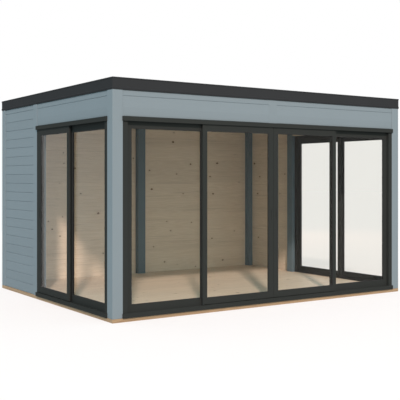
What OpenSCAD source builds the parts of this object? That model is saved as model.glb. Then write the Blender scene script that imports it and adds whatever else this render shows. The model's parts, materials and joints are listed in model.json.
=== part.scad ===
// Garden pavilion: a flat-roofed timber building on a low base, with a
// four-leaf glazed sliding front and a two-leaf glazed sliding door in
// each side. Millimetres, +Z up, front face towards -Y, origin at the
// middle of the base's underside.

/* [Building] */
// Length along the front, over the posts
building_l = 4180; // [3600:10:5400]
// Depth from front to back, over the posts
building_d = 3190; // [2900:10:4200]
// Height of the tops of posts, walls and headers above the ground
wall_top = 2382; // [2250:1:2700]
// Side of a square post
post_w = 120; // [110:1:150]

/* [Base and floor] */
// Height of the base beams and floor joists
base_h = 40; // [30:1:90]
// Width of a base beam
base_w = 120; // [90:1:140]
// Width of a floor joist
floor_joist_w = 60; // [40:1:80]
// Number of floor joists between the end beams
floor_joist_count = 7; // [5:2:11]
// Thickness of the floor boards
floor_t = 28; // [18:1:32]
// Room for the floor boards to swell before they meet the walls
floor_gap = 13; // [0:1:20]

/* [Walls and headers] */
// Thickness of the wall boards
wall_t = 28; // [24:1:70]
// Setback of the wall boards from the posts' outer face
wall_set = 8; // [0:1:20]
// Thickness of the header beams over the doors
header_t = 108; // [60:1:112]
// Setback of the header beams from the posts' outer face
header_set = 6; // [4:1:12]
// Width of the block between the two halves of the front header
header_block_w = 120; // [80:10:200]
// How far that block stands out from the header beams
header_block_out = 1; // [0:0.5:4]

/* [Doors] */
// Height of the top of the door frames above the ground
door_top = 2110; // [1950:1:2200]
// Width of the door frame in each side
side_door_w = 1860; // [1500:10:2000]
// Width of a door jamb's face
jamb_w = 57; // [40:1:80]
// Height of a door head, over its lip
head_h = 47; // [30:1:70]
// Height of a door sill, over its lip
sill_h = 48; // [30:1:70]
// Depth of the bed that the leaves stand in below the lip of head or sill
bed_drop = 10; // [8:1:12]
// Reach of the head's and sill's nose beyond the posts' outer face
nose_out = 18; // [8:1:40]
// Overlap of the nose onto the posts at each end
nose_side = 7; // [0:1:30]
// Radius of the nose's upright corners
nose_r = 6; // [2:1:8]
// Reach of the leaves' bed into the nose
bed_out = 8; // [0:1:10]
// Width of the lip along the inside of a door frame
lip_w = 10; // [6:1:12]

/* [Leaves] */
// Thickness of a leaf
leaf_t = 20; // [18:1:36]
// Distance from the outer track to the inner one
track_pitch = 39; // [28:1:60]
// Running room before and behind the leaves and over the sliding ones
track_gap = 5.5; // [5:0.5:8]
// Width of the stile beside a jamb
jamb_stile_w = 62; // [45:1:90]
// Width of the stiles where a sliding leaf laps a fixed one
lap_stile_w = 55; // [45:1:80]
// Width of the stiles that meet in the middle of the front
meeting_stile_w = 67; // [55:1:100]
// Height of the top of the glass below the top of the door frame
glass_below_top = 119; // [100:1:160]
// Height of the bottom of the glass above the underside of the sill
glass_above_sill = 124; // [110:1:200]
// Gap between a closed leaf and the jamb or leaf that it meets
close_gap = 5; // [5:0.5:8]
// Lap of a front leaf over the fixed one beside it
front_lap = 57; // [30:1:70]
// Lap of a side leaf over the fixed one beside it
side_lap = 38; // [30:1:70]
// How much wider the fixed side leaf is than the sliding one
side_leaf_extra = 38; // [0:2:200]
// Thickness of the glass
glass_t = 8; // [6:1:14]
// Depth of the groove that holds the glass
glass_groove = 12; // [8:1:16]
// Room around the glass in its groove
glass_gap = 0.3; // [0.2:0.1:0.6]

/* [Running gear] */
// Width of the rail that the sliding leaves run on
rail_w = 8; // [6:1:12]
// Height of the rail above the sill's bed
rail_h = 10; // [6:1:12]
// Length of a runner shoe
shoe_l = 80; // [40:1:120]
// Width of a runner shoe
shoe_w = 14; // [12:1:24]
// Height of a runner shoe
shoe_h = 5; // [5:0.5:8]
// Distance of a runner shoe from the end of its leaf
shoe_end = 120; // [60:1:200]
// Running gap between shoe and rail
run_gap = 0.3; // [0.2:0.1:0.5]

/* [Flush pulls] */
// Length of a flush pull's recess
pull_l = 120; // [90:1:200]
// Width of a flush pull's recess
pull_w = 18; // [16:1:30]
// Depth of a flush pull's recess
pull_deep = 5; // [4:1:8]
// Height of the middle of the pulls above the ground
pull_z = 1050; // [900:1:1200]

/* [Roof] */
// Height of the rim beams and of the joists above the walls
rim_h = 70; // [60:1:110]
// Thickness of the rim beams
rim_t = 36; // [28:1:45]
// Width of a roof joist
roof_joist_w = 60; // [40:1:80]
// Depth of the roof joists below the tops of the walls
joist_drop = 60; // [20:1:90]
// Number of roof joists between the end rims
roof_joist_count = 7; // [4:1:10]
// Thickness of the roof boards
deck_t = 18; // [15:1:28]
// Thickness of the roof membrane
membrane_t = 3; // [2:0.5:5]
// Height of the fascia boards
fascia_h = 125; // [115:1:180]
// Thickness of the fascia boards over their lips
fascia_t = 20; // [16:1:28]
// How far the fascia stands out from the posts
fascia_out = 7; // [2:1:14]
// Height of the lip along each edge of a fascia board
fascia_lip_h = 12; // [6:1:16]
// How far the lip stands out from a fascia board's face
fascia_lip_out = 1.5; // [0.5:0.5:3]

/* [Hidden] */
$fn = 48;
cut_over = 1;

wood = [0.80, 0.68, 0.50];
paint = [0.56, 0.59, 0.60];
dark = [0.21, 0.22, 0.22];
pane = [0.70, 0.80, 0.82, 0.4];
rubber = [0.12, 0.12, 0.13];

half_l = building_l / 2;
half_d = building_d / 2;
outer_track = track_gap - bed_out;
inner_track = outer_track + track_pitch;
frame_depth = inner_track + leaf_t + track_gap;
sill_top = base_h + sill_h;
sill_bed = sill_top - bed_drop;
head_low = door_top - head_h;
head_bed = head_low + bed_drop;
floor_top = base_h + floor_t;
front_door_w = building_l - 2 * post_w;
bay_d = building_d - 2 * post_w;
rear_bay_d = bay_d - side_door_w - post_w;
glass_low = base_h + glass_above_sill;
glass_high = door_top - glass_below_top;
wall_in = wall_set + wall_t;
leaf_low = sill_bed + rail_h + run_gap + shoe_h;
leaf_high = head_bed - track_gap;
fascia_in = fascia_t - fascia_out;
rim_in = fascia_in + rim_t;
deck_low = wall_top + rim_h;
membrane_low = deck_low + deck_t;
fascia_top = wall_top + fascia_h;

// Leaf widths: the four front leaves are alike; the two leaves of a side
// door differ by a set amount
front_clear = front_door_w - 2 * jamb_w;
front_leaf_w = (front_clear - close_gap + 2 * front_lap) / 4;
side_clear = side_door_w - 2 * jamb_w;
side_slide_w = (side_clear - close_gap + side_lap - side_leaf_extra) / 2;
side_fixed_w = side_slide_w + side_leaf_extra;

// ---------- placing: x along a face to the right as seen from outside,
// y into the building

module on_front() {
    translate([-half_l, -half_d, 0]) children();
}

module on_back() {
    rotate([0, 0, 180]) on_front() children();
}

module on_left() {
    translate([-half_l, half_d, 0]) rotate([0, 0, -90]) children();
}

module on_right() {
    translate([half_l, -half_d, 0]) rotate([0, 0, 90]) children();
}

module at_front_door() {
    on_front() translate([post_w, 0, 0]) children();
}

module at_left_door() {
    on_left() translate([building_d - post_w - side_door_w, 0, 0]) children();
}

module at_right_door() {
    on_right() translate([post_w, 0, 0]) children();
}

// ---------- base and floor

module base_beams() {
    color(wood)
    for (side = [-1, 1])
        translate([-half_l, side * (half_d - base_w / 2) - base_w / 2, 0])
            cube([building_l, base_w, base_h]);
}

module base_ends() {
    color(wood)
    for (side = [-1, 1])
        translate([side * (half_l - base_w / 2) - base_w / 2, base_w - half_d, 0])
            cube([base_w, building_d - 2 * base_w, base_h]);
}

module floor_joists() {
    pitch = (building_l - 2 * base_w) / (floor_joist_count + 1);
    color(wood)
    for (i = [1 : floor_joist_count])
        translate([base_w - half_l + i * pitch - floor_joist_w / 2, base_w - half_d, 0])
            cube([floor_joist_w, building_d - 2 * base_w, base_h]);
}

module post_space(x, y) {
    translate([x, y, base_h - cut_over])
        cube([post_w, post_w, floor_t + 2 * cut_over]);
}

module floor() {
    frame_in = frame_depth + lip_w;
    edge = wall_in + floor_gap;
    color(wood)
    difference() {
        translate([edge - half_l, frame_in - half_d, base_h])
            cube([building_l - 2 * edge, building_d - frame_in - edge, floor_t]);
        for (side = [0, 1], row = [0, 1, 2])
            post_space(
                side * (building_l - post_w) - half_l,
                [0, post_w + side_door_w, building_d - post_w][row] - half_d
            );
        post_space(-post_w / 2, half_d - post_w);
        for (side = [0, 1])
            translate([side * (building_l - frame_in) - half_l, -half_d, base_h - cut_over])
                cube([frame_in, post_w + side_door_w, floor_t + 2 * cut_over]);
    }
}

// ---------- posts, walls and headers

module post(x, y) {
    translate([x, y, base_h]) cube([post_w, post_w, wall_top - base_h]);
}

module front_posts() {
    color(paint)
    for (side = [0, 1])
        post(side * (building_l - post_w) - half_l, -half_d);
}

module back_posts() {
    color(paint)
    for (side = [0, 1])
        post(side * (building_l - post_w) - half_l, half_d - post_w);
}

module side_mid_posts() {
    color(paint)
    for (side = [0, 1])
        post(side * (building_l - post_w) - half_l, post_w + side_door_w - half_d);
}

module back_mid_post() {
    color(paint) post(-post_w / 2, half_d - post_w);
}

module wall(x, w) {
    color(paint)
    translate([x, wall_set, base_h]) cube([w, wall_t, wall_top - base_h]);
}

module left_wall() {
    on_left() wall(post_w, rear_bay_d);
}

module right_wall() {
    on_right() wall(2 * post_w + side_door_w, rear_bay_d);
}

module back_wall_left() {
    on_back() wall(half_l + post_w / 2, half_l - 1.5 * post_w);
}

module back_wall_right() {
    on_back() wall(post_w, half_l - 1.5 * post_w);
}

module header(w) {
    color(paint)
    translate([0, header_set, door_top]) cube([w, header_t, wall_top - door_top]);
}

module front_header() {
    half_w = (front_door_w - header_block_w) / 2;
    at_front_door()
        for (x = [0, front_door_w - half_w])
            translate([x, 0, 0]) header(half_w);
}

module front_header_block() {
    color(paint)
    at_front_door()
        translate([
            (front_door_w - header_block_w) / 2,
            header_set - header_block_out,
            door_top
        ])
            cube([header_block_w, header_t + header_block_out, wall_top - door_top]);
}

module left_header() {
    at_left_door() header(side_door_w);
}

module right_header() {
    at_right_door() header(side_door_w);
}

// ---------- door frames: head and sill with a nose outside, a bed for the
// leaves and a lip inside

module nose(w, z, h) {
    translate([-nose_side, -nose_out, z])
    linear_extrude(h) {
        translate([0, nose_r]) square([w + 2 * nose_side, nose_out - nose_r]);
        translate([nose_r, 0]) square([w + 2 * nose_side - 2 * nose_r, nose_out]);
        for (x = [nose_r, w + 2 * nose_side - nose_r])
            translate([x, nose_r]) circle(nose_r);
    }
}

// Room for the outer track in the nose, from height z up
module bed_space(w, z) {
    translate([jamb_w, -bed_out, z])
        cube([w - 2 * jamb_w, bed_out + cut_over, bed_drop + cut_over]);
}

module door_sill(w) {
    color(dark)
    union() {
        difference() {
            nose(w, base_h, sill_h);
            bed_space(w, sill_bed);
        }
        translate([0, 0, base_h]) cube([w, frame_depth, sill_bed - base_h]);
        translate([0, frame_depth, base_h]) cube([w, lip_w, sill_h]);
        translate([jamb_w, outer_track + (leaf_t - rail_w) / 2, base_h])
            cube([w - 2 * jamb_w, rail_w, sill_bed - base_h + rail_h]);
    }
}

module door_head(w) {
    color(dark)
    union() {
        difference() {
            nose(w, head_low, head_h);
            bed_space(w, head_low - cut_over);
        }
        translate([0, 0, head_bed]) cube([w, frame_depth, door_top - head_bed]);
        translate([0, frame_depth, head_low]) cube([w, lip_w, head_h]);
    }
}

module door_jambs(w) {
    color(dark)
    for (x = [0, w - jamb_w]) {
        translate([x, 0, sill_bed]) cube([jamb_w, frame_depth, head_bed - sill_bed]);
        translate([x, 0, sill_top]) cube([jamb_w, frame_depth + lip_w, head_low - sill_top]);
    }
}

module front_sill() {
    at_front_door() door_sill(front_door_w);
}

module front_head() {
    at_front_door() door_head(front_door_w);
}

module front_jambs() {
    at_front_door() door_jambs(front_door_w);
}

module side_sills() {
    at_left_door() door_sill(side_door_w);
    at_right_door() door_sill(side_door_w);
}

module side_heads() {
    at_left_door() door_head(side_door_w);
    at_right_door() door_head(side_door_w);
}

module side_jambs() {
    at_left_door() door_jambs(side_door_w);
    at_right_door() door_jambs(side_door_w);
}

// ---------- leaves: x, width, left and right stile, track, bottom and top

module leaf(x, w, left, right, track, low, high) {
    sight = w - left - right;
    color(dark)
    difference() {
        translate([x, track, low]) cube([w, leaf_t, high - low]);
        translate([x + left, track - cut_over, glass_low])
            cube([sight, leaf_t + 2 * cut_over, glass_high - glass_low]);
        translate([
            x + left - glass_groove,
            track + (leaf_t - glass_t) / 2 - glass_gap,
            glass_low - glass_groove
        ])
            cube([
                sight + 2 * glass_groove,
                glass_t + 2 * glass_gap,
                glass_high - glass_low + 2 * glass_groove
            ]);
    }
}

module leaf_glass(x, w, left, right, track) {
    sight = w - left - right;
    held = glass_groove - glass_gap;
    color(pane)
    translate([x + left - held, track + (leaf_t - glass_t) / 2, glass_low - held])
        cube([sight + 2 * held, glass_t, glass_high - glass_low + 2 * held]);
}

// Shoes under a sliding leaf, and the recesses of its two flush pulls
module shoes(x, w) {
    for (place = [x + shoe_end, x + w - shoe_end - shoe_l])
        translate([place, outer_track + (leaf_t - shoe_w) / 2, leaf_low - shoe_h])
            cube([shoe_l, shoe_w, shoe_h]);
}

module pull_recess(middle) {
    for (y = [outer_track - cut_over, outer_track + leaf_t - pull_deep])
        translate([middle - pull_w / 2, y, pull_z - pull_l / 2])
            cube([pull_w, pull_deep + cut_over, pull_l]);
}

module sliding_leaf(x, w, left, right, pull_x) {
    color(dark)
    difference() {
        union() {
            leaf(x, w, left, right, outer_track, leaf_low, leaf_high);
            shoes(x, w);
        }
        pull_recess(pull_x);
    }
}

// Places of the leaves in their frames
front_first = jamb_w + front_leaf_w - front_lap;
front_second = front_door_w - front_first - front_leaf_w;
side_first = jamb_w + close_gap;
side_second = side_door_w - jamb_w - side_fixed_w;

module front_fixed_leaves() {
    at_front_door() {
        leaf(
            jamb_w, front_leaf_w,
            jamb_stile_w, lap_stile_w, inner_track, sill_bed, head_bed
        );
        leaf(
            front_door_w - jamb_w - front_leaf_w, front_leaf_w,
            lap_stile_w, jamb_stile_w, inner_track, sill_bed, head_bed
        );
    }
}

module front_fixed_glass() {
    at_front_door() {
        leaf_glass(jamb_w, front_leaf_w, jamb_stile_w, lap_stile_w, inner_track);
        leaf_glass(
            front_door_w - jamb_w - front_leaf_w, front_leaf_w,
            lap_stile_w, jamb_stile_w, inner_track
        );
    }
}

module front_left_leaf() {
    at_front_door()
        sliding_leaf(
            front_first, front_leaf_w, lap_stile_w, meeting_stile_w,
            front_first + front_leaf_w - meeting_stile_w / 2
        );
}

module front_left_glass() {
    at_front_door()
        leaf_glass(front_first, front_leaf_w, lap_stile_w, meeting_stile_w, outer_track);
}

module front_right_leaf() {
    at_front_door()
        sliding_leaf(
            front_second, front_leaf_w, meeting_stile_w, lap_stile_w,
            front_second + meeting_stile_w / 2
        );
}

module front_right_glass() {
    at_front_door()
        leaf_glass(front_second, front_leaf_w, meeting_stile_w, lap_stile_w, outer_track);
}

module side_fixed_leaf() {
    leaf(
        side_second, side_fixed_w, lap_stile_w, jamb_stile_w,
        inner_track, sill_bed, head_bed
    );
}

module side_fixed_leaves() {
    at_left_door() side_fixed_leaf();
    at_right_door() side_fixed_leaf();
}

module side_fixed_pane() {
    leaf_glass(side_second, side_fixed_w, lap_stile_w, jamb_stile_w, inner_track);
}

module side_fixed_glass() {
    at_left_door() side_fixed_pane();
    at_right_door() side_fixed_pane();
}

module side_sliding_leaf() {
    sliding_leaf(
        side_first, side_slide_w, jamb_stile_w, lap_stile_w,
        side_first + jamb_stile_w / 2
    );
}

module side_sliding_pane() {
    leaf_glass(side_first, side_slide_w, jamb_stile_w, lap_stile_w, outer_track);
}

module left_leaf() {
    at_left_door() side_sliding_leaf();
}

module left_glass() {
    at_left_door() side_sliding_pane();
}

module right_leaf() {
    at_right_door() side_sliding_leaf();
}

module right_glass() {
    at_right_door() side_sliding_pane();
}

// ---------- roof

module roof_rims() {
    color(wood)
    for (side = [-1, 1])
        translate([fascia_in - half_l, side * (half_d - fascia_in - rim_t / 2) - rim_t / 2, wall_top])
            cube([building_l - 2 * fascia_in, rim_t, rim_h]);
}

module roof_end_rims() {
    color(wood)
    for (side = [-1, 1])
        translate([side * (half_l - fascia_in - rim_t / 2) - rim_t / 2, rim_in - half_d, wall_top])
            cube([rim_t, building_d - 2 * rim_in, rim_h]);
}

module roof_joists() {
    pitch = (building_l - 2 * rim_in) / (roof_joist_count + 1);
    color(wood)
    for (i = [1 : roof_joist_count])
        translate([rim_in - half_l + i * pitch - roof_joist_w / 2, 0, 0]) {
            translate([0, rim_in - half_d, wall_top])
                cube([roof_joist_w, building_d - 2 * rim_in, rim_h]);
            translate([0, post_w - half_d, wall_top - joist_drop])
                cube([roof_joist_w, building_d - 2 * post_w, joist_drop + rim_h]);
        }
}

module roof_deck() {
    color(wood)
    translate([fascia_in - half_l, fascia_in - half_d, deck_low])
        cube([building_l - 2 * fascia_in, building_d - 2 * fascia_in, deck_t]);
}

module roof_membrane() {
    l = building_l - 2 * fascia_in;
    d = building_d - 2 * fascia_in;
    color(rubber)
    difference() {
        translate([-l / 2, -d / 2, membrane_low])
            cube([l, d, fascia_top - fascia_lip_h / 2 - membrane_low]);
        translate([membrane_t - l / 2, membrane_t - d / 2, membrane_low + membrane_t])
            cube([l - 2 * membrane_t, d - 2 * membrane_t, fascia_h]);
    }
}

// A fascia board of length l, standing on the tops of the posts, its
// outer face towards -Y
module fascia(l) {
    face = fascia_lip_out;
    color(dark)
    translate([l, -fascia_out, wall_top])
    rotate([90, 0, -90])
        linear_extrude(l)
            polygon([
                [0, 0], [0, fascia_lip_h], [-face, fascia_lip_h],
                [-face, fascia_h - fascia_lip_h], [0, fascia_h - fascia_lip_h],
                [0, fascia_h], [-fascia_t, fascia_h], [-fascia_t, 0]
            ]);
}

module long_fascia() {
    translate([-fascia_out, 0, 0]) fascia(building_l + 2 * fascia_out);
}

module short_fascia() {
    translate([fascia_in, 0, 0]) fascia(building_d - 2 * fascia_in);
}

module fascia_front() {
    on_front() long_fascia();
}

module fascia_back() {
    on_back() long_fascia();
}

module fascia_left() {
    on_left() short_fascia();
}

module fascia_right() {
    on_right() short_fascia();
}

base_beams();
base_ends();
floor_joists();
floor();
front_posts();
back_posts();
side_mid_posts();
back_mid_post();
left_wall();
right_wall();
back_wall_left();
back_wall_right();
front_header();
front_header_block();
left_header();
right_header();
front_sill();
front_head();
front_jambs();
side_sills();
side_heads();
side_jambs();
front_fixed_leaves();
front_fixed_glass();
side_fixed_leaves();
side_fixed_glass();
front_left_leaf();
front_left_glass();
front_right_leaf();
front_right_glass();
left_leaf();
left_glass();
right_leaf();
right_glass();
roof_rims();
roof_end_rims();
roof_joists();
roof_deck();
roof_membrane();
fascia_front();
fascia_back();
fascia_left();
fascia_right();
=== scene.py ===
"""Dresses the garden pavilion: boards, paint, glazing, seals, fixings and roof sheet."""

import json
import math

import bmesh
import bpy
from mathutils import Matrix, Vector

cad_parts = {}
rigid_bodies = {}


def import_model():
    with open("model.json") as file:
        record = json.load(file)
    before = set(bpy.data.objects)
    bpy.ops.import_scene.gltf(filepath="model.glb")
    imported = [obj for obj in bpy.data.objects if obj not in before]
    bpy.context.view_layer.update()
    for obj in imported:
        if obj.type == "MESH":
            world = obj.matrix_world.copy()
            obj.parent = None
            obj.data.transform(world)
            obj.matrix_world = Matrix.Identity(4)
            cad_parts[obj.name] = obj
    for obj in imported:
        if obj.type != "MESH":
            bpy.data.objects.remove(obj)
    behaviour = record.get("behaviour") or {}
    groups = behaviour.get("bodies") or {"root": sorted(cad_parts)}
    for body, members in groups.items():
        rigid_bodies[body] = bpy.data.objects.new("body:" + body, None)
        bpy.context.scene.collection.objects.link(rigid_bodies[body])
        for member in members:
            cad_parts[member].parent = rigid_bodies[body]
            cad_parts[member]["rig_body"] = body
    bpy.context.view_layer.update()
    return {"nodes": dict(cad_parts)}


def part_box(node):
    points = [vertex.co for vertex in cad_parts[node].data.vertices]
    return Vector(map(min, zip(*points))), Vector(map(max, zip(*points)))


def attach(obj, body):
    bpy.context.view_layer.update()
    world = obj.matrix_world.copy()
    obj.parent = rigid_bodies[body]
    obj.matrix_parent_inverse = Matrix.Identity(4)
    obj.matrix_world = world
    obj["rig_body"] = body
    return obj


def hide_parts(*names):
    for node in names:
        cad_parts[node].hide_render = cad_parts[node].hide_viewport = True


bl_info = {
    "name": "Garden Pavilion",
    "version": (1, 0, 0),
    "blender": (4, 5, 0),
    "location": "View3D > Sidebar > Pavilion",
    "description": "Boards, paint, glazing and roof of a timber garden pavilion",
    "category": "Add Mesh",
}

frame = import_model()
BUILDING = "building"

# ---------------- settings


def length(name, text, default):
    """A size."""
    return bpy.props.FloatProperty(
        name=name, description=text, default=default, min=0, max=10,
        subtype="DISTANCE", unit="LENGTH",
    )


def colour(name, text, default):
    """A colour in linear red, green and blue."""
    return bpy.props.FloatVectorProperty(
        name=name, description=text, default=default, min=0, max=1, size=3, subtype="COLOR"
    )


def amount(name, text, default, high=10.0):
    """A plain number."""
    return bpy.props.FloatProperty(name=name, description=text, default=default, min=0, max=high)


def angle(name, text, degrees):
    """An angle, stated here in degrees."""
    return bpy.props.FloatProperty(
        name=name, description=text, default=math.radians(degrees),
        subtype="ANGLE", unit="ROTATION",
    )


class PavilionSizes(bpy.types.PropertyGroup):
    """Sizes of the boards, edges and small parts."""

    board_pitch: length("Board pitch", "Height that one wall board covers", 0.114)
    skin_t: length("Painted depth", "Thickness of the wall boards that is painted", 0.014)
    outer_chamfer: length("Outer chamfer", "Chamfer along the outer boards", 0.005)
    inner_chamfer: length("Inner chamfer", "Chamfer along the boards inside", 0.003)
    strip_h: length("Top strip height", "Height of the narrow board under the fascia", 0.062)
    header_skin_t: length("Header board", "Thickness of the boards over a header beam", 0.022)
    floor_pitch: length("Floor board pitch", "Width that one floor board covers", 0.120)
    ceiling_pitch: length("Ceiling board pitch", "Width that one roof board covers", 0.1215)
    post_round: length("Post edge radius", "Rounding of the posts' edges", 0.005)
    timber_round: length("Timber edge radius", "Rounding of the other planed timber", 0.003)
    metal_round: length("Frame edge radius", "Rounding of the door frames and leaves", 0.0015)
    glass_held: length("Glass in groove", "Depth of the glass hidden in the leaf", 0.0117)
    gasket_w: length("Gasket width", "Width of the gasket seen round the glass", 0.004)
    gasket_h: length("Gasket height", "Height of the gasket over the glass", 0.005)
    hook_t: length("Interlock thickness", "Thickness of the hooks on lapping stiles", 0.003)
    hook_reach: length("Interlock reach", "Reach of a hook into the gap between leaves", 0.012)
    hook_room: length("Interlock room", "Room between the two hooks of a closed leaf", 0.003)
    brush_room: length("Brush room", "Room left beyond a brush seal", 0.0005)
    strip_room: length("Closing room", "Room left beside a closing strip", 0.0006)
    strip_deep: length("Closing strip depth", "Depth of the strip on a closing edge", 0.014)
    end_room: length("End room", "Room over and under hooks, brushes and strips", 0.003)
    cup_w: length("Pull cup width", "Width of the cup that lines a flush pull", 0.0178)
    cup_h: length("Pull cup height", "Height of the cup that lines a flush pull", 0.1198)
    cup_deep: length("Pull cup depth", "Depth of the cup that lines a flush pull", 0.005)
    cup_t: length("Pull cup thickness", "Thickness of the cup's sheet", 0.0008)
    pull_height: length("Pull height", "Height of the middle of a flush pull", 1.05)
    sheet_t: length("Sheet thickness", "Thickness of the roof sheet", 0.003)
    sheet_round: length("Sheet edge radius", "Rounding of the roof sheet's edges", 0.001)
    seam_w: length("Seam width", "Width of a lap seam of the roof sheet", 0.06)
    seam_t: length("Seam thickness", "Height of a lap seam of the roof sheet", 0.0015)
    bar_t: length("Clamping bar", "Thickness of the bars that hold the roof sheet", 0.002)
    bar_foot: length("Bar foot", "Gap between a clamping bar and the sheet below", 0.006)
    bar_head: length("Bar head", "Gap between a clamping bar and the upstand's top", 0.002)
    bar_end: length("Bar end", "Gap between a clamping bar and the corner", 0.01)
    screw_d: length("Screw head", "Diameter of a screw head", 0.009)
    screw_h: length("Screw head height", "Height of a screw head", 0.002)
    screw_step: length("Screw spacing", "Distance between the screws of a row", 0.25)
    fascia_face: length("Fascia face", "Depth of the fascia's face behind its drip nose", 0.005)
    fascia_lip: length("Fascia lip height", "Height of the lip along the fascia's top", 0.012)
    fascia_fold: length("Fascia fold", "How far that lip stands out", 0.0035)
    drip_h: length("Drip edge height", "Height of the drip nose over the fascia's foot", 0.017)
    drip_rise: length("Drip nose rise", "Height of the slope from nose to face", 0.006)
    drip_in: length("Drip edge depth", "Depth of the drip edge behind the nose", 0.0066)
    drip_t: length("Drip edge thickness", "Thickness of the drip edge", 0.0015)
    drip_reach: length("Drip edge reach", "How far the drip edge hangs over the posts", 0.003)


class PavilionColours(bpy.types.PropertyGroup):
    """Colours of the finishes."""

    paint: colour("Paint", "Paint of the posts, walls and headers", (0.201, 0.236, 0.260))
    # painted shade: a darker, bluer paint for the posts' faces inside the room, standing for the
    # shade in there; the posts have one paint
    inner_paint: colour("Inner paint", "Paint of the posts' inner faces", (0.125, 0.177, 0.213))
    frame: colour("Frames", "Coating of the door frames", (0.0305, 0.0325, 0.031))
    fascia: colour("Fascia", "Coating of the fascia", (0.0325, 0.0333, 0.0355))
    spruce: colour("Spruce", "Pale wood between the growth rings", (0.75, 0.65, 0.54))
    spruce_ring: colour("Spruce ring", "Darker growth rings", (0.62, 0.52, 0.40))
    knot: colour("Knot", "Middle of a knot", (0.15, 0.09, 0.05))
    base: colour("Base", "Pressure-treated timber", (0.39, 0.265, 0.157))
    base_ring: colour("Base ring", "Darker streaks of the treated timber", (0.29, 0.18, 0.10))
    rubber: colour("Rubber", "Gaskets, brushes and roof sheet", (0.018, 0.018, 0.019))
    steel: colour("Steel", "Screws and clamping bars", (0.36, 0.36, 0.355))
    glass: colour("Glass", "Tint of one face of the glass", (0.955, 0.953, 0.940))


class PavilionLight(bpy.types.PropertyGroup):
    """Lamps, sky and camera."""

    sun: amount("Sun", "Strength of the sun lamp", 2.75)
    sun_colour: colour("Sun colour", "Colour of the sun lamp", (1.0, 0.81, 0.73))
    sun_elevation: angle("Sun elevation", "Height of the sun over the horizon", 33)
    sun_heading: angle("Sun heading", "Turn of the sun from the front to the left", 30.4)
    sun_width: angle("Sun width", "Width of the sun, which softens its shadows", 4)
    sky: amount("Sky", "Strength of the light from all round", 0.975)
    sky_colour: colour("Sky colour", "Colour of the light from all round", (0.62, 0.915, 1.0))
    fill: amount("Fill", "Power of the wide soft lamp in front", 205.0, 5000.0)
    fill_colour: colour("Fill colour", "Colour of the soft lamp in front", (1.0, 0.66, 0.40))
    back_fill: amount("Back fill", "Power of the wide soft lamp behind", 320.0, 5000.0)
    back_fill_colour: colour("Back fill colour", "Colour of that lamp", (1.0, 0.55, 0.35))
    eye_height: length("Eye height", "Height of the camera", 1.473)
    eye_left: length("Eye to the left", "Camera's place left of the near corner", 3.771)
    eye_front: length("Eye in front", "Camera's place in front of the near corner", 7.228)
    heading: angle("Camera heading", "Turn of the camera to the right", 33.8)
    lens: amount("Lens", "Focal length in mm for a 36 mm sensor", 71.95, 200)
    lens_drop: amount("Lens drop", "Downward shift of the lens in widths of the frame", 0.0541)


# ---------------- shaders


def joined(operation, turned=False):
    """A method that joins a wire and a value in a Math node, turned for the reflected form."""

    def join(self, other):
        return self.math(operation, *((other, self) if turned else (self, other)))

    return join


def changed(operation):
    """A method that passes a wire through a Math node."""
    return lambda self: self.math(operation, self)


class Wire:
    """A shader socket in an expression: sums and products add their Math nodes."""

    def __init__(self, box, socket):
        self.box = box
        self.socket = socket

    def math(self, operation, *values):
        return self.box.node("Math", dict(enumerate(values)), operation=operation)

    __add__, __radd__ = joined("ADD"), joined("ADD", True)
    __sub__, __rsub__ = joined("SUBTRACT"), joined("SUBTRACT", True)
    __mul__, __rmul__ = joined("MULTIPLY"), joined("MULTIPLY", True)
    __truediv__, __rtruediv__ = joined("DIVIDE"), joined("DIVIDE", True)
    __pow__, __lt__, larger = joined("POWER"), joined("LESS_THAN"), joined("MAXIMUM")
    floor, sine, size = changed("FLOOR"), changed("SINE"), changed("ABSOLUTE")

    def ease(self, low, high):
        """0 below low, 1 above high, smooth between."""
        sockets = {"Value": self, "From Min": low, "From Max": high}
        return self.box.node("MapRange", sockets, interpolation_type="SMOOTHSTEP")


def rgba(tint):
    """A colour as a socket wants it. A link stays a link."""
    return tint if isinstance(tint, Wire) else (*tint[:3], 1)


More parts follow.
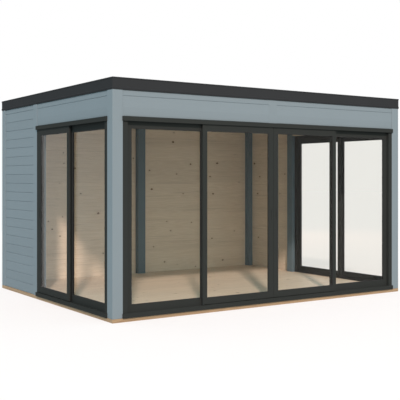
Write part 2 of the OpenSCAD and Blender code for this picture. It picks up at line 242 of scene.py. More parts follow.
class Finish:
    """The node tree of a new material, or of the owner given, and the means to build it."""

    def __init__(self, name, owner=None):
        self.owner = owner or bpy.data.materials.new(name)
        self.owner.use_nodes = True
        self.tree = self.owner.node_tree
        self.tree.nodes.clear()

    def node(self, kind, sockets=None, output=0, **settings):
        """Adds a shader node: its settings first, then the values or links of its sockets."""
        made = self.tree.nodes.new("ShaderNode" + kind)
        for key, value in settings.items():
            setattr(made, key, value)
        for key, value in (sockets or {}).items():
            if isinstance(value, Wire):
                self.tree.links.new(value.socket, made.inputs[key])
            else:
                made.inputs[key].default_value = value
        return Wire(self, made.outputs[output]) if len(made.outputs) else None

    def mix(self, factor, a, b):
        """Colour a at factor 0, colour b at factor 1."""
        return self.node("Mix", {0: factor, 6: rgba(a), 7: rgba(b)}, 2, data_type="RGBA")

    def brighten(self, tint, factor):
        """A colour times a number."""
        grey = self.node("CombineColor", {0: factor, 1: factor, 2: factor})
        sockets = {0: 1.0, 6: rgba(tint), 7: grey}
        return self.node("Mix", sockets, 2, data_type="RGBA", blend_type="MULTIPLY")

    def spot(self):
        """The point in the building's own frame."""
        return self.node("TexCoord", output="Object")

    def parts(self, spot, count=3):
        """The first parts of a vector."""
        return [self.node("SeparateXYZ", {0: spot}, i) for i in range(count)]

    def place(self):
        """The x, y and z of the point in the building's own frame."""
        return dict(zip("xyz", self.parts(self.spot())))

    def point(self, x, y, z):
        return self.node("CombineXYZ", {0: x, 1: y, 2: z})

    def noise(self, spot, scale, detail, rough=0.5):
        sockets = {"Vector": spot, "Scale": scale, "Detail": detail, "Roughness": rough}
        return self.node("TexNoise", sockets)

    def luck(self, number):
        """A random number from 0 to 1 for each number."""
        return self.node("TexWhiteNoise", {"W": number}, noise_dimensions="1D")

    def bump(self, height, distance, strength):
        sockets = {"Height": height, "Distance": distance, "Strength": strength}
        return self.node("Bump", sockets)

    def either(self, factor, a, b):
        """Shader a at factor 0, shader b at factor 1."""
        return self.node("MixShader", {0: factor, 1: a, 2: b})

    def end(self, shader, kind="OutputMaterial"):
        """Ends the tree in this shader."""
        self.node(kind, {"Surface": shader})
        return self.owner

    def surface(self, **sockets):
        """Ends the tree in a Principled BSDF with these sockets."""
        named = {
            key.replace("_", " ").title().replace("Ior", "IOR"): value
            for key, value in sockets.items()
        }
        return self.end(self.node("BsdfPrincipled", named))


# places for knots along a board, the share of them that has one, and how its size varies
KNOT_SPACING = 0.62
KNOT_SCATTER = 0.85
KNOT_SHARE = 0.38
KNOT_RADIUS = 0.0075
KNOT_GROWTH = 0.009
KNOT_STRETCH = 0.45
# how far knots and grain are shifted along a board by its luck
KNOT_SHIFT = 19
GRAIN_SHIFT = 37
# waves of the growth rings over one unit of the noise that bends them
WOOD_RINGS = 95
PAINTED_RINGS = 60


def rows(f, place, across, pitch, start):
    """The number of the board at a point, and its luck."""
    row = ((place[across] - start) / pitch).floor()
    return row, f.luck(row)


def grain(f, place, along, luck, stretch, tight, detail, rough=0.5):
    """Noise drawn out along the grain and shifted from board to board."""
    parts = {axis: place[axis] * (stretch if axis == along else tight) for axis in "xyz"}
    parts[along] = parts[along] + luck * GRAIN_SHIFT
    return f.noise(f.point(**parts), 1.0, detail, rough)


def knots(f, place, along, across, pitch, start, luck):
    """1 within the knots, and a wider mask for the grain that swirls round them."""
    run = place[along] / KNOT_SPACING + luck * KNOT_SHIFT
    rise = (place[across] - start) / pitch
    sockets = {"Vector": f.point(run, rise, 0), "Scale": 1.0, "Randomness": KNOT_SCATTER}
    cell = f.node("TexVoronoi", sockets, "Position", voronoi_dimensions="2D", feature="F1")
    near = f.parts(cell, 2)
    aside, up = (run - near[0]) * KNOT_SPACING, (rise - near[1]) * pitch
    reach = (aside * aside * KNOT_STRETCH + up * up) ** 0.5
    chosen = f.luck(near[0] * 7.3 + near[1] * 3.1) < KNOT_SHARE
    size = KNOT_RADIUS + f.luck(near[0] * 5.1 + near[1] * 1.7) ** 2 * KNOT_GROWTH
    share = reach / size
    return (1 - share.ease(0.75, 1.15)) * chosen, (1 - share.ease(0.8, 5.0)) * chosen


def softwood(name, along, across, pitch, start, pale, ring, knot, shine=0.5):
    """Planed softwood: growth rings, fine grain, tone from board to board and knots."""
    f = Finish(name)
    place = f.place()
    row, luck = rows(f, place, across, pitch, start)
    tone = f.luck(row + 0.5)
    knotty, swirl = knots(f, place, along, across, pitch, start, luck)
    broad = grain(f, place, along, luck, 0.55, 9.0, 2.0)
    rings = ((broad + swirl * 0.18) * WOOD_RINGS).sine() * 0.5 + 0.5
    fine = grain(f, place, along, luck, 5.0, 260.0, 3.0, 0.6)
    cloud = grain(f, place, along, luck, 1.2, 3.0, 2.0)
    # resin streaks: long, thin and few
    resin = grain(f, place, along, luck, 0.9, 46.0, 1.0).ease(0.60, 0.74)
    wood = f.mix(rings * 0.42 + fine * 0.5 + swirl * 0.25, pale, ring)
    wood = f.brighten(wood, 0.91 + tone * 0.07 + cloud * 0.11)
    wood = f.mix(resin * 0.30, wood, [part * 0.62 for part in ring])
    height = rings * 0.3 + fine * 0.7 - knotty * 0.6
    return f.surface(
        base_color=f.mix(knotty, wood, knot), roughness=shine + fine * 0.15,
        normal=f.bump(height, 0.0006, 0.6), specular_ior_level=0.35,
    )


def indoor_shade_mask(place, margin=0.03):
    """1 at points within the building's outline less a margin, 0 on its outer faces: the mask for
    painted shade inside the building.
    """
    low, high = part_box("front_posts")[0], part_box("back_posts")[1]
    inside = [
        (place[axis] - (a + b) / 2).size() < (b - a) / 2 - margin
        for axis, a, b in (("x", low.x, high.x), ("y", low.y, high.y))
    ]
    return inside[0] * inside[1]


def paint(name, along, across, pitch, start, tint, inner=None):
    """Opaque paint on planed boards, with the grain showing through. A darker inner colour paints
    shade on the faces inside the building.
    """
    f = Finish(name)
    place = f.place()
    # painted shade: faces inside the building take the darker inner colour, for the shade in the
    # room
    if inner:
        tint = f.mix(indoor_shade_mask(place), tint, inner)
    _, luck = rows(f, place, across, pitch, start)
    broad = grain(f, place, along, luck, 0.7, 11.0, 2.0)
    streak = grain(f, place, along, luck, 3.5, 190.0, 3.0, 0.6)
    cloud = f.noise(f.point(**place), 2.2, 3.0)
    shade = 0.955 + luck * 0.035 + cloud * 0.05 + (streak - 0.5) * 0.05
    height = streak * 0.6 + (broad * PAINTED_RINGS).sine() * 0.12
    return f.surface(
        base_color=f.brighten(tint, shade), roughness=0.42 + streak * 0.16,
        normal=f.bump(height, 0.0009, 0.55), specular_ior_level=0.03,
    )


def coating(name, tint, rough=0.36):
    """Fine-textured powder coating on metal."""
    f = Finish(name)
    spot = f.spot()
    peel, cloud = f.noise(spot, 900.0, 2.0), f.noise(spot, 1.7, 3.0)
    return f.surface(
        base_color=f.brighten(tint, 0.93 + cloud * 0.14),
        roughness=rough + peel * 0.10 + cloud * 0.06,
        normal=f.bump(peel, 0.0003, 0.35), specular_ior_level=0.005,
    )


def rubber(name, tint, speckles=600.0):
    """Matt rubber or roof sheet with a slight speckle."""
    f = Finish(name)
    spot = f.spot()
    speck, cloud = f.noise(spot, speckles, 3.0, 0.7), f.noise(spot, 1.3, 4.0)
    return f.surface(
        base_color=f.brighten(tint, 0.75 + cloud * 0.4 + speck * 0.2),
        roughness=0.62 + cloud * 0.2,
        normal=f.bump(speck, 0.0004, 0.5), specular_ior_level=0.3,
    )


def bright_steel(name, tint):
    """Brushed stainless steel."""
    f = Finish(name)
    place = f.place()
    brush = f.noise(f.point(place["x"] * 8, place["y"] * 8, place["z"] * 400), 1.0, 2.0)
    return f.surface(
        base_color=f.brighten(tint, 0.85 + brush * 0.3), metallic=1.0,
        roughness=0.46 + brush * 0.14,
    )


def clear_glass(name, tint, sheen=0.008, edge_sheen=0.62, steep=5):
    """Clear glass that lets the sun in: tinted see-through with a mirror sheen by angle."""
    f = Finish(name)
    through = f.node("BsdfTransparent", {"Color": rgba(tint)})
    mirror = f.node("BsdfGlossy", {"Color": (1, 1, 1, 1), "Roughness": 0.0})
    slant = f.node("LayerWeight", {"Blend": 0.5}, "Facing")
    return f.end(f.either(sheen + edge_sheen * slant**steep, through, mirror))


# posts, joists and beams are single timbers: rows this wide give each one its own tone
TIMBER_ROW = 0.5
POST_START = 0.11
JOIST_START = 0.2
BEAM_START = -0.2
MADE = {}


def finish_of(key):
    """Each finish is made once, on first use."""
    if key not in MADE:
        sizes, tints = bpy.context.scene.pavilion_sizes, bpy.context.scene.pavilion_colours
        wall = (sizes.board_pitch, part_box("left_wall")[0].z)
        floor = (sizes.floor_pitch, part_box("floor")[0].y)
        ceiling = (sizes.ceiling_pitch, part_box("roof_deck")[0].y)
        spruce = (tints.spruce, tints.spruce_ring, tints.knot)
        treated = (tints.base, tints.base_ring, tints.knot)
        # the posts' paint, and the darker paint that is painted shade on their faces inside the
        # room
        post = (TIMBER_ROW, POST_START, tints.paint, tints.inner_paint)
        maker, *details = {
            "post_paint": (paint, "z", "x", *post),
            "side_paint": (paint, "y", "z", *wall, tints.paint),
            "long_paint": (paint, "x", "z", *wall, tints.paint),
            "side_spruce": (softwood, "y", "z", *wall, *spruce),
            "long_spruce": (softwood, "x", "z", *wall, *spruce),
            "floor_spruce": (softwood, "x", "y", *floor, *spruce, 0.42),
            "ceiling_spruce": (softwood, "x", "y", *ceiling, *spruce),
            "joist_spruce": (softwood, "y", "x", TIMBER_ROW, JOIST_START, *spruce),
            "long_treated": (softwood, "x", "z", TIMBER_ROW, BEAM_START, *treated),
            "side_treated": (softwood, "y", "z", TIMBER_ROW, BEAM_START, *treated),
            "frame_coat": (coating, tints.frame),
            "fascia_coat": (coating, tints.fascia, 0.42),
            "rubber": (rubber, tints.rubber),
            "roof_sheet": (rubber, tints.rubber, 90.0),
            "steel": (bright_steel, tints.steel),
            "glass": (clear_glass, tints.glass),
        }[key]
        MADE[key] = maker(key, *details)
    return MADE[key]


# ---------------- meshes

# points closer than this are one point, and lengths closer than this are equal
SAME_POINT = 1e-5
SAME_LENGTH = 1e-4
FLAT = math.radians(1)
SHARP = math.radians(30)


def at(axis, along, across, height):
    """A point from its places along a level axis (0 or 1), across it and in height."""
    spot = Vector((0, 0, height))
    spot[axis], spot[1 - axis] = along, across
    return spot


def corners(axis, along, across, height):
    """Low and high corner of a box, from pairs of places as in at()."""
    pairs = (along, across, height)
    return at(axis, *map(min, pairs)), at(axis, *map(max, pairs))


def add_box(bm, low, high):
    """Adds a box to a mesh and returns its vertices."""
    made = bmesh.ops.create_cube(bm, size=1.0)["verts"]
    centre, size = (low + high) / 2, high - low
    for v in made:
        v.co = Vector(v.co[i] * size[i] + centre[i] for i in range(3))
    return made


def round_edges(bm, edges, radius, segments):
    bmesh.ops.bevel(
        bm, geom=edges, offset=radius, segments=segments, profile=0.6,
        affect="EDGES", clamp_overlap=True,
    )


def add_soft_box(bm, low, high, radius):
    """Adds a box with its edges taken off."""
    made = add_box(bm, low, high)
    round_edges(bm, list({e for v in made for e in v.link_edges}), radius, 1)


def add_shell(bm, *rings):
    """Joins equal rings of points into a closed solid, with a flat cap at both ends."""
    rings = [[bm.verts.new(spot) for spot in ring] for ring in rings]
    faces = [bm.faces.new(rings[0]), bm.faces.new(rings[-1])]
    for a, b in zip(rings, rings[1:]):
        for i in range(len(a)):
            j = (i + 1) % len(a)
            faces.append(bm.faces.new((a[i], a[j], b[j], b[i])))
    bmesh.ops.recalc_face_normals(bm, faces=faces)


def add_prism(bm, outline, axis, start, end):
    """Adds a prism along x or y: outline holds (place across that axis, height) pairs."""
    run = "xy".index(axis)
    add_shell(bm, *([at(run, c, a, b) for a, b in outline] for c in (start, end)))


def placed(name, data):
    """A new object in the scene."""
    made = bpy.data.objects.new(name, data)
    bpy.context.scene.collection.objects.link(made)
    return made


def piece(name, bm, finish, body=BUILDING, replaces=()):
    """Turns a mesh into a finished piece that rides on its body."""
    mesh = bpy.data.meshes.new(name)
    bm.to_mesh(mesh)
    bm.free()
    mesh.materials.append(finish_of(finish))
    made = placed(name, mesh)
    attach(made, body)
    if replaces:
        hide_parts(*replaces)
    return made


def merged(node):
    """A copy of a CAD node's mesh with its loose triangles joined."""
    bm = bmesh.new()
    bm.from_mesh(frame["nodes"][node].data)
    bmesh.ops.remove_doubles(bm, verts=bm.verts, dist=SAME_POINT)
    return bm


def solids(node):
    """Low and high corners of each separate solid of a CAD node."""
    bm = merged(node)
    left = set(bm.verts)
    found = []
    while left:
        group = [left.pop()]
        for v in group:
            near = {e.other_vert(v) for e in v.link_edges} & left
            left -= near
            group.extend(near)
        low, high = (
            Vector(pick(v.co[i] for v in group) for i in range(3)) for pick in (min, max)
        )
        found.append((low, high))
    bm.free()
    return sorted(found, key=lambda pair: tuple(round(c, 4) for c in pair[0]))


def softened(node, radius, finish, segments=2):
    """A copy of a CAD piece with its edges rounded, which stands for it."""
    bm = merged(node)
    bmesh.ops.dissolve_limit(bm, angle_limit=FLAT, verts=bm.verts, edges=bm.edges)
    sharp = [e for e in bm.edges if e.is_manifold and e.calc_face_angle() > SHARP]
    round_edges(bm, sharp, radius, segments)
    piece(node + "_shape", bm, finish, frame["nodes"][node]["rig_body"], [node])


# ---------------- geometry nodes


def repeat_tree():
    """Geometry nodes that repeat a piece along a straight line."""
    name = "Repeat along a line"
    if name in bpy.data.node_groups:
        return bpy.data.node_groups[name]
    tree = bpy.data.node_groups.new(name, "GeometryNodeTree")
    for label, kind in (
        ("Piece", "NodeSocketGeometry"),
        ("Count", "NodeSocketInt"),
        ("Step", "NodeSocketVector"),
        ("Finish", "NodeSocketMaterial"),
    ):
        tree.interface.new_socket(label, in_out="INPUT", socket_type=kind)
    tree.interface.new_socket("Row", in_out="OUTPUT", socket_type="NodeSocketGeometry")
    start, line, spread, solid, coat, end = (
        tree.nodes.new(kind)
        for kind in (
            "NodeGroupInput", "GeometryNodeMeshLine", "GeometryNodeInstanceOnPoints",
            "GeometryNodeRealizeInstances", "GeometryNodeSetMaterial", "NodeGroupOutput",
        )
    )
    for source, out, target, into in (
        (start, "Count", line, "Count"),
        (start, "Step", line, "Offset"),
        (line, "Mesh", spread, "Points"),
        (start, "Piece", spread, "Instance"),
        (spread, "Instances", solid, "Geometry"),
        (solid, "Geometry", coat, "Geometry"),
        (start, "Finish", coat, "Material"),
        (coat, "Geometry", end, "Row"),
    ):
        tree.links.new(source.outputs[out], target.inputs[into])
    return tree


def repeat(made, count, step):
    """Repeats a finished piece count times, step apart, and leaves a plain mesh."""
    if count < 2:
        return
    tree = repeat_tree()
    modifier = made.modifiers.new("Repeat", "NODES")
    modifier.node_group = tree
    values = {"Count": count, "Step": tuple(step), "Finish": made.data.materials[0]}
    for item in tree.interface.items_tree:
        if item.in_out == "INPUT" and item.name in values:
            modifier[item.identifier] = values[item.name]
    made.update_tag()
    bpy.context.view_layer.update()
    evaluated = made.evaluated_get(bpy.context.evaluated_depsgraph_get())
    plain = bpy.data.meshes.new_from_object(evaluated)
    made.modifiers.remove(modifier)
    old = made.data
    made.data = plain
    bpy.data.meshes.remove(old)
    plain.name = made.name


# ---------------- boards

# the finishes of boards that run along x are named long_, and along y side_
KIND = {"x": "long", "y": "side"}


def outer_inner(box, along, inward):
    """Outer and inner face of a wall or header, given the way to its inside."""
    across = 1 - "xy".index(along)
    faces = [corner[across] for corner in box]
    return faces if inward > 0 else faces[::-1]


def board_outline(low, high, face, back, chamfer):
    """Section of a board from low to high, chamfered along its face: (depth, place) pairs."""
    turn = face + (chamfer if back > face else -chamfer)
    return [
        (face, low + chamfer), (turn, low), (back, low),
        (back, high), (turn, high), (face, high - chamfer),
    ]


def lying(outline):
    """The section of a board that lies flat, from that of one that stands."""
    return [(place, depth) for depth, place in outline]


def board_rows(name, node, along, face, back, chamfer, finish, pitch):
    """Boards that run along x or y, one on another up a wall, the last one cut to fit."""
    low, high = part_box(node)
    run = "xy".index(along)
    count = int((high.z - low.z) / pitch + SAME_LENGTH)
    rest = low.z + count * pitch
    for label, foot, top, number in (
        ("", low.z, low.z + pitch, count), ("_top", rest, high.z, 1),
    ):
        if number and top - foot > 2 * chamfer:
            outline = board_outline(foot, top, face, back, chamfer)
            bm = bmesh.new()
            add_prism(bm, outline, along, low[run], high[run])
            repeat(piece(name + label, bm, finish, replaces=[node]), number, (0, 0, pitch))


class PAVILION_OT_walls(bpy.types.Operator):
    """Build the boards of every wall: painted outside, bare spruce inside"""

    bl_idname = "pavilion.walls"
    bl_label = "Walls"

    def execute(self, context):
        sizes = context.scene.pavilion_sizes
        for node, along, inward in (
            ("left_wall", "y", 1), ("right_wall", "y", -1),
            ("back_wall_left", "x", -1), ("back_wall_right", "x", -1),
        ):
            outer, inner = outer_inner(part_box(node), along, inward)
            middle = outer + inward * sizes.skin_t
            for label, face, chamfer, finish, slot in (
                ("_boards", outer, sizes.outer_chamfer, "_paint", "painted_timber"),
                ("_lining", inner, sizes.inner_chamfer, "_spruce", "floor_boards"),
            ):
                board_rows(
                    node + label, node, along, face, middle, chamfer,
                    KIND[along] + finish, sizes.board_pitch,
                )
        return {"FINISHED"}


class PAVILION_OT_headers(bpy.types.Operator):
    """Build the boards over the header beams and the beams behind them"""

    bl_idname = "pavilion.headers"
    bl_label = "Headers"

    def execute(self, context):
        sizes = context.scene.pavilion_sizes
        for node, along, inward in (
            ("front_header", "x", 1), ("left_header", "y", 1), ("right_header", "y", -1),
        ):
            run = "xy".index(along)
            boards, beams = bmesh.new(), bmesh.new()
            for low, high in solids(node):
                face, inner = outer_inner((low, high), along, inward)
                skin = face + inward * sizes.header_skin_t
                seam = high.z - sizes.strip_h
                for foot, top in ((low.z, seam), (seam, high.z)):
                    outline = board_outline(foot, top, face, skin, sizes.outer_chamfer)
                    add_prism(boards, outline, along, low[run], high[run])
                outline = board_outline(low.z, high.z, inner, skin, sizes.timber_round)
                add_prism(beams, outline, along, low[run], high[run])
            kind = KIND[along]
            piece(node + "_boards", boards, kind + "_paint", replaces=[node])
            piece(node + "_beam", beams, kind + "_spruce", replaces=[node])
        softened("front_header_block", sizes.metal_round, "post_paint")
        return {"FINISHED"}


class PAVILION_OT_posts(bpy.types.Operator):
    """Build the painted posts with rounded edges"""

    bl_idname = "pavilion.posts"
    bl_label = "Posts"

    def execute(self, context):
        radius = context.scene.pavilion_sizes.post_round
        for node in ("front_posts", "back_posts", "side_mid_posts", "back_mid_post"):
            softened(node, radius, "post_paint", 3)
        return {"FINISHED"}


class PAVILION_OT_base(bpy.types.Operator):
    """Build the base beams and the floor joists"""

    bl_idname = "pavilion.base"
    bl_label = "Base"

    def execute(self, context):
        radius = context.scene.pavilion_sizes.timber_round
        for node, kind in (("base_beams", "long"), ("base_ends", "side"), ("floor_joists", "side")):
            softened(node, radius, kind + "_treated")
        return {"FINISHED"}


class PAVILION_OT_floor(bpy.types.Operator):
    """Lay the floor boards, fitted round the posts and door frames"""

    bl_idname = "pavilion.floor"
    bl_label = "Floor"

    def execute(self, context):
        sizes = context.scene.pavilion_sizes
        low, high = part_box("floor")
        ends = self.ends(low)
        bm = bmesh.new()
        for i in range(math.ceil((high.y - low.y) / sizes.floor_pitch)):
            start = low.y + i * sizes.floor_pitch
            end = min(start + sizes.floor_pitch, high.y)
            left = [low.x] + [
                x for near, far, x in ends
                if start >= near - SAME_LENGTH and end <= far + SAME_LENGTH
            ]
            outline = board_outline(start, end, high.z, low.z, sizes.inner_chamfer)
            add_prism(bm, lying(outline), "x", left[-1], -left[-1])
        piece("floor_boards", bm, "floor_spruce", replaces=["floor"])
        return {"FINISHED"}

    def ends(self, floor_low):
        """Where boards stop short of the left wall: (near, far, x) of the frame and the post."""
        frame_in = floor_low.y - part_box("front_jambs")[0].y
        near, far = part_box("side_jambs")
        post_in = max(high.x for low, high in solids("front_posts") if high.x < 0)
        return [(near.y, far.y, near.x + frame_in)] + [
            (low.y, high.y, post_in) for low, high in solids("side_mid_posts") if high.x < 0
        ]


# the roof sheet is laid in bays, with a lap seam between each two
SHEET_BAYS = 3
# a domed screw head: share of the radius and of the height, ring by ring
SCREW_SIDES = 10
SCREW_DOME = ((1.0, 0.0), (1.0, 0.35), (0.6, 0.85))


class PAVILION_OT_roof(bpy.types.Operator):
    """Build the roof: rims, joists, boards, sheet with its seams and clamping bars"""

    bl_idname = "pavilion.roof"
    bl_label = "Roof"

    def execute(self, context):
        sizes = context.scene.pavilion_sizes
        for name, kind in (("rims", "long"), ("end_rims", "side"), ("joists", "joist")):
            softened("roof_" + name, sizes.timber_round, kind + "_spruce")
        low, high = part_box("roof_deck")
        count = round((high.y - low.y) / sizes.ceiling_pitch)
        pitch = (high.y - low.y) / count
        outline = board_outline(low.y, low.y + pitch, low.z, high.z, sizes.inner_chamfer)
        bm = bmesh.new()
        add_prism(bm, lying(outline), "x", low.x, high.x)
        deck = piece("roof_boards", bm, "ceiling_spruce", replaces=["roof_deck"])
        repeat(deck, count, (0, pitch, 0))
        softened("roof_membrane", sizes.sheet_round, "roof_sheet")
        low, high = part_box("roof_membrane")
        thick = sizes.sheet_t
        inside = low + Vector((thick, thick, thick)), high - Vector((thick, thick, 0))
        self.seams(sizes, *inside)
        self.bars(sizes, *inside)
        return {"FINISHED"}

    def seams(self, sizes, low, high):
        """Lap seams across the roof, within its upstand."""
        step = (high.x - low.x) / SHEET_BAYS
        first = low.x + step - sizes.seam_w / 2
        start = Vector((first, low.y, low.z - sizes.sheet_t / 6))
        end = Vector((first + sizes.seam_w, high.y, low.z + sizes.seam_t))
        bm = bmesh.new()
        add_soft_box(bm, start, end, sizes.sheet_t / 4)
        repeat(piece("roof_seams", bm, "roof_sheet"), SHEET_BAYS - 1, (step, 0, 0))

    def bars(self, sizes, low, high):
        """Clamping bars along the inside of the upstand, each with a row of screws."""
        height = (low.z + sizes.bar_foot, high.z - sizes.bar_head)
        bm = bmesh.new()
        for axis, side in ((1, 0), (1, 1), (0, 0), (0, 1)):
            run = 1 - axis
            sheet_face = (low, high)[side][axis]
            bar_face = sheet_face + (sizes.bar_t, -sizes.bar_t)[side]
            span = (low[run] + sizes.bar_end, high[run] - sizes.bar_end)
            add_soft_box(bm, *corners(run, span, (sheet_face, bar_face), height), sizes.bar_t / 4)
            self.screws(sizes, axis, side, bar_face, span, sum(height) / 2)
        piece("clamping_bars", bm, "steel")

    def screws(self, sizes, axis, side, face, span, height):
        """A row of domed screw heads on one clamping bar."""
        run, out = 1 - axis, (1, -1)[side]
        count = int((span[1] - span[0]) / sizes.screw_step)
        first = (sum(span) - (count - 1) * sizes.screw_step) / 2
        rings = []
        for share, rise in SCREW_DOME:
            radius, depth = share * sizes.screw_d / 2, face + out * rise * sizes.screw_h
            turns = [math.tau * i / SCREW_SIDES for i in range(SCREW_SIDES)]
            rings.append([
                at(run, first + math.cos(turn) * radius, depth, height + math.sin(turn) * radius)
                for turn in turns
            ])
        bm = bmesh.new()
        add_shell(bm, *rings)
        made = piece("clamping_screws_%d%d" % (axis, side), bm, "steel")
        repeat(made, count, at(run, sizes.screw_step, 0, 0))


class PAVILION_OT_fascia(bpy.types.Operator):
    """Build the fascia boards"""

    bl_idname = "pavilion.fascia"
    bl_label = "Fascia"

    def execute(self, context):
        sizes = context.scene.pavilion_sizes
        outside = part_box("fascia_front")
        outside[1].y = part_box("fascia_back")[1].y
        for side, run, outward in (
            ("front", 0, -1), ("back", 0, 1), ("left", 1, -1), ("right", 1, 1),
        ):
            node = "fascia_" + side
            section = self.section(node, 1 - run, sizes)
            nose = outside[outward > 0][1 - run]
            bm = bmesh.new()
            # each end is mitred where it meets its neighbour
            add_shell(bm, *(
                [at(run, corner[run] + step * depth, nose - outward * depth, height)
                 for depth, height in section]
                for corner, step in zip(outside, (1, -1))
            ))
            piece(node + "_board", bm, "fascia_coat", replaces=[node])
        return {"FINISHED"}

    def section(self, node, across, sizes):
        """Folded sheet round a board, from its foot outwards: (depth, height) pairs."""
        low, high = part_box(node)
        t = high[across] - low[across]
        face, lip, fold = sizes.fascia_face, sizes.fascia_lip, sizes.fascia_fold
        nose, back, foot = low.z + sizes.drip_h, sizes.drip_in, low.z - sizes.drip_reach
        return [
            (t, low.z), (back, low.z), (back, foot), (back - sizes.drip_t, foot),
            (0, nose), (face, nose + sizes.drip_rise),
            (face, high.z - lip - fold), (face - fold, high.z - lip), (face - fold, high.z - fold),
            (face, high.z), (t, high.z),
        ]


# ---------------- doors

# the sliding bodies, and the first words of the names of their leaf and glass
LEAVES = {
    "front_left": "front_left", "front_right": "front_right",
    "left_side": "left", "right_side": "right",
}
# a jamb stands on the same side of the building as a leaf when it is this near across it
BESIDE = 0.1


def directions(box):
    """The axis that a leaf or pane runs along, and the one across it."""
    size = box[1] - box[0]
    return (0, 1) if size.x > size.y else (1, 0)


class PAVILION_OT_frames(bpy.types.Operator):
    """Finish the door frames"""

    bl_idname = "pavilion.frames"
    bl_label = "Door frames"

    def execute(self, context):
        radius = context.scene.pavilion_sizes.metal_round
        for node in (
            "front_sill", "front_head", "front_jambs", "side_sills", "side_heads", "side_jambs",
        ):
            softened(node, radius, "frame_coat")
        return {"FINISHED"}


class PAVILION_OT_leaves(bpy.types.Operator):
    """Finish the fixed and sliding leaves, their glass and gaskets"""

    bl_idname = "pavilion.leaves"
    bl_label = "Leaves"

    def execute(self, context):
        sizes = context.scene.pavilion_sizes
        leaves = [name + "_leaf" for name in LEAVES.values()]
        for node in ["front_fixed_leaves", "side_fixed_leaves"] + leaves:
            softened(node, sizes.metal_round, "frame_coat")
        for name in ["front_fixed", "side_fixed", *LEAVES.values()]:
            node = name + "_glass"
            made = frame["nodes"][node]
            made.data.materials.clear()
            made.data.materials.append(finish_of("glass"))
            bm = bmesh.new()
            for pane in solids(node):
                self.gaskets(bm, pane, sizes)
            piece(node + "_gaskets", bm, "rubber", made["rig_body"])
        fixed = solids("front_fixed_leaves") + solids("side_fixed_leaves")
        kept_hooks, kept_brushes = bmesh.new(), bmesh.new()
        for body, name in LEAVES.items():
            leaf = name + "_leaf"
            slide, pane = solids(leaf)[0], solids(name + "_glass")[0]
            still = min(fixed, key=lambda box: (box[0] + box[1] - slide[0] - slide[1]).length)
            hooks, brushes, cups = bmesh.new(), bmesh.new(), bmesh.new()
            self.interlock((hooks, brushes), slide, still, still, sizes, 1)
            self.interlock((kept_hooks, kept_brushes), still, slide, still, sizes, 0)
            self.closing_strip(hooks, slide, still, sizes)
            self.pulls(cups, slide, pane, still, sizes)
            piece(leaf + "_interlock", hooks, "frame_coat", body)
            piece(leaf + "_brush", brushes, "rubber", body)
            piece(leaf + "_pull_cups", cups, "frame_coat", body)
        piece("fixed_leaf_interlocks", kept_hooks, "frame_coat")
        piece("fixed_leaf_brushes", kept_brushes, "rubber")
        return {"FINISHED"}

    def interlock(self, meshes, own, other, still, sizes, order):
        """A hook and its brush on the face of a leaf that looks at the other one.

        The fixed leaf's hook stands on the edge of its lapping stile, and the sliding
        leaf's hook (order 1) beside it, further in over the fixed leaf."""
        run, across = directions(own)
        moving = own if order else other
        inward = 1 if moving[0][run] < still[0][run] else -1
        near = still[inward < 0][run] + inward * order * (sizes.hook_t + sizes.hook_room)
        out = 1 if other[0][across] > own[0][across] else -1
        face = own[out > 0][across]
        gap = abs(other[out < 0][across] - face)
        tip = sizes.hook_reach
        span = (near, near + inward * sizes.hook_t)
        height = (own[0].z + sizes.end_room, own[1].z - sizes.end_room)
        for bm, start, end in ((meshes[0], 0, tip), (meshes[1], tip, gap - sizes.brush_room)):
            add_box(bm, *corners(run, span, (face + out * start, face + out * end), height))

    def closing_strip(self, bm, slide, still, sizes):
        """A strip on the edge with which a leaf closes on its jamb, or on the leaf beside it."""
        run, across = directions(slide)
        out = -1 if slide[0][run] < still[0][run] else 1
        edge = slide[out > 0][run]
        if run == 0:
            # the two leaves meet in the middle of the front and share the room between them
            t = abs(edge) - sizes.strip_room / 2
        else:
            jambs = [j for j in solids("side_jambs") if abs(j[0].x - slide[0].x) < BESIDE]
            t = min(abs(face[run] - edge) for jamb in jambs for face in jamb) - sizes.strip_room
        middle, half = (slide[0][across] + slide[1][across]) / 2, sizes.strip_deep / 2
        height = (slide[0].z + sizes.end_room, slide[1].z - sizes.end_room)
        add_box(bm, *corners(run, (edge, edge + out * t), (middle - half, middle + half), height))

    def pulls(self, bm, slide, pane, still, sizes):
        """Thin cups that line the two flush pulls of a sliding leaf."""
        run, across = directions(slide)
        held = sizes.glass_held
        if slide[0][run] < still[0][run]:
            stile = (slide[0][run], pane[0][run] + held)
        else:
            stile = (pane[1][run] - held, slide[1][run])
        middle, height = sum(stile) / 2, sizes.pull_height
        w, half, deep, t = sizes.cup_w / 2, sizes.cup_h / 2, sizes.cup_deep, sizes.cup_t
        for face, inward in ((slide[0][across], 1), (slide[1][across], -1)):
            bottom = (face + inward * (deep - t), face + inward * deep)
            sides = (face, face + inward * (deep - t))
            for depth, a, b, c, d in (
                (bottom, -w, w, -half, half),
                (sides, -w, t - w, -half, half), (sides, w - t, w, -half, half),
                (sides, t - w, w - t, -half, t - half), (sides, t - w, w - t, half - t, half),
            ):
                span, rise = (middle + a, middle + b), (height + c, height + d)
                add_box(bm, *corners(run, span, depth, rise))

    def gaskets(self, bm, pane, sizes):
        """Gaskets on both faces of a pane, round the part that shows."""
        run, across = directions(pane)
        held, w = sizes.glass_held, sizes.gasket_w
        a0, a1 = pane[0][run] + held, pane[1][run] - held
        z0, z1 = pane[0].z + held, pane[1].z - held
        for corner, out in zip(pane, (-1, 1)):
            depth = (corner[across], corner[across] + out * sizes.gasket_h)
            for span, rise in (
                ((a0, a1), (z0, z0 + w)), ((a0, a1), (z1 - w, z1)),
                ((a0, a0 + w), (z0 + w, z1 - w)), ((a1 - w, a1), (z0 + w, z1 - w)),
            ):
                add_box(bm, *corners(run, span, depth, rise))


# ---------------- stage

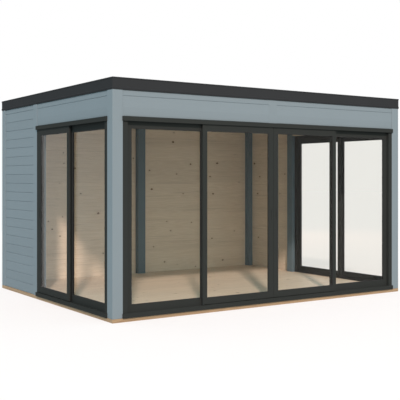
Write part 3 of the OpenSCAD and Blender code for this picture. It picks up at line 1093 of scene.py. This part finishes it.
GROUND_REACH = 60.0
GROUND_GREY = (0.5, 0.5, 0.5)
# where the floor is seen, its tints even out the lamps' own: it stays white, its shadows grey
GROUND_SHADE = (0.26, 0.255, 0.255)
GROUND_GLOW = (0.721, 0.676, 0.665)
# the soft lamps are this large and this far from the middle of the building
LAMP_SIZE = (8.0, 5.0)
LAMP_AWAY = 12.0
MIDDLE = Vector((0, 0, 1.1))
SENSOR_MM = 36


class PAVILION_OT_stage(bpy.types.Operator):
    """Build the floor, the light and the camera"""

    bl_idname = "pavilion.stage"
    bl_label = "Stage"

    def execute(self, context):
        light = context.scene.pavilion_light
        self.ground()
        self.sky(light)
        level = math.cos(light.sun_elevation)
        side = Vector((
            -math.sin(light.sun_heading) * level, -math.cos(light.sun_heading) * level,
            math.sin(light.sun_elevation),
        ))
        self.lamp("sun", "SUN", light.sun, light.sun_colour, side).data.angle = light.sun_width
        self.soft_lamp("fill", light.fill, light.fill_colour, (-0.15, -1.0, 0.30))
        self.soft_lamp("back fill", light.back_fill, light.back_fill_colour, (0.60, 1.0, 0.35))
        self.camera(light)
        context.scene.view_settings.view_transform = "Standard"
        return {"FINISHED"}

    def seen_directly(self, f):
        """1 for rays that show the background as such, 0 for those that light the object."""
        camera, glossy, through = (
            f.node("LightPath", output=ray)
            for ray in ("Is Camera Ray", "Is Glossy Ray", "Is Transmission Ray")
        )
        return camera.larger(glossy.larger(through))

    def ground(self):
        mesh = bpy.data.meshes.new("ground")
        reach = GROUND_REACH
        spots = [(-reach, -reach, 0), (reach, -reach, 0), (reach, reach, 0), (-reach, reach, 0)]
        mesh.from_pydata(spots, [], [(0, 1, 2, 3)])
        made = placed("ground", mesh)
        f = Finish("ground")
        lit, shade = (
            f.node("BsdfDiffuse", {"Color": rgba(tint)}) for tint in (GROUND_GREY, GROUND_SHADE)
        )
        glow = f.node("Emission", {"Color": rgba(GROUND_GLOW), "Strength": 1.0})
        seen = f.node("AddShader", {0: shade, 1: glow})
        mesh.materials.append(f.end(f.either(self.seen_directly(f), lit, seen)))

    def sky(self, light):
        f = Finish("sky", bpy.data.worlds.new("sky"))
        soft, white = (
            f.node("Background", {"Color": rgba(tint), "Strength": strength})
            for tint, strength in ((light.sky_colour, light.sky), ((1, 1, 1), 1.0))
        )
        world = f.end(f.either(self.seen_directly(f), soft, white), "OutputWorld")
        bpy.context.scene.world = world

    def lamp(self, name, kind, strength, tint, side):
        """A lamp that shines on the middle of the building from the given side."""
        lamp = bpy.data.lights.new(name, kind)
        lamp.energy, lamp.color = strength, tint
        made = placed(name, lamp)
        made.location = MIDDLE + side * LAMP_AWAY
        made.rotation_euler = side.to_track_quat("Z", "Y").to_euler()
        return made

    def soft_lamp(self, name, power, tint, side):
        """A wide lamp that lifts the faces on its side, and isn't seen itself."""
        made = self.lamp(name, "AREA", power, tint, Vector(side).normalized())
        made.data.shape = "RECTANGLE"
        made.data.size, made.data.size_y = LAMP_SIZE
        made.visible_camera = made.visible_glossy = False

    def camera(self, light):
        lens = bpy.data.cameras.new("camera")
        lens.sensor_width = SENSOR_MM
        lens.lens = light.lens
        lens.shift_y = -light.lens_drop
        made = placed("camera", lens)
        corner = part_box("front_posts")[0]
        made.location = (corner.x - light.eye_left, corner.y - light.eye_front, light.eye_height)
        made.rotation_euler = (math.radians(90), 0, -light.heading)
        bpy.context.scene.camera = made


class PAVILION_PT_panel(bpy.types.Panel):
    """Shows the buttons that build the pavilion and its settings in the sidebar"""

    bl_idname = "PAVILION_PT_panel"
    bl_label = "Garden Pavilion"
    bl_space_type = "VIEW_3D"
    bl_region_type = "UI"
    bl_category = "Pavilion"

    def draw(self, context):
        for operator in OPERATORS:
            self.layout.operator(operator.bl_idname)
        for name in GROUPS:
            group = getattr(context.scene, name)
            column = self.layout.column()
            for setting in group.__annotations__:
                column.prop(group, setting)


GROUPS = {
    "pavilion_sizes": PavilionSizes,
    "pavilion_colours": PavilionColours,
    "pavilion_light": PavilionLight,
}
OPERATORS = (
    PAVILION_OT_base,
    PAVILION_OT_floor,
    PAVILION_OT_posts,
    PAVILION_OT_walls,
    PAVILION_OT_headers,
    PAVILION_OT_frames,
    PAVILION_OT_leaves,
    PAVILION_OT_roof,
    PAVILION_OT_fascia,
    PAVILION_OT_stage,
)


def register():
    for cls in (*GROUPS.values(), *OPERATORS, PAVILION_PT_panel):
        bpy.utils.register_class(cls)
    for name, group in GROUPS.items():
        setattr(bpy.types.Scene, name, bpy.props.PointerProperty(type=group))


def unregister():
    for name in GROUPS:
        delattr(bpy.types.Scene, name)
    for cls in reversed((*GROUPS.values(), *OPERATORS, PAVILION_PT_panel)):
        bpy.utils.unregister_class(cls)


def main():
    register()
    for operator in OPERATORS:
        group, name = operator.bl_idname.split(".")
        getattr(getattr(bpy.ops, group), name)()


if __name__ == "__main__":
    main()
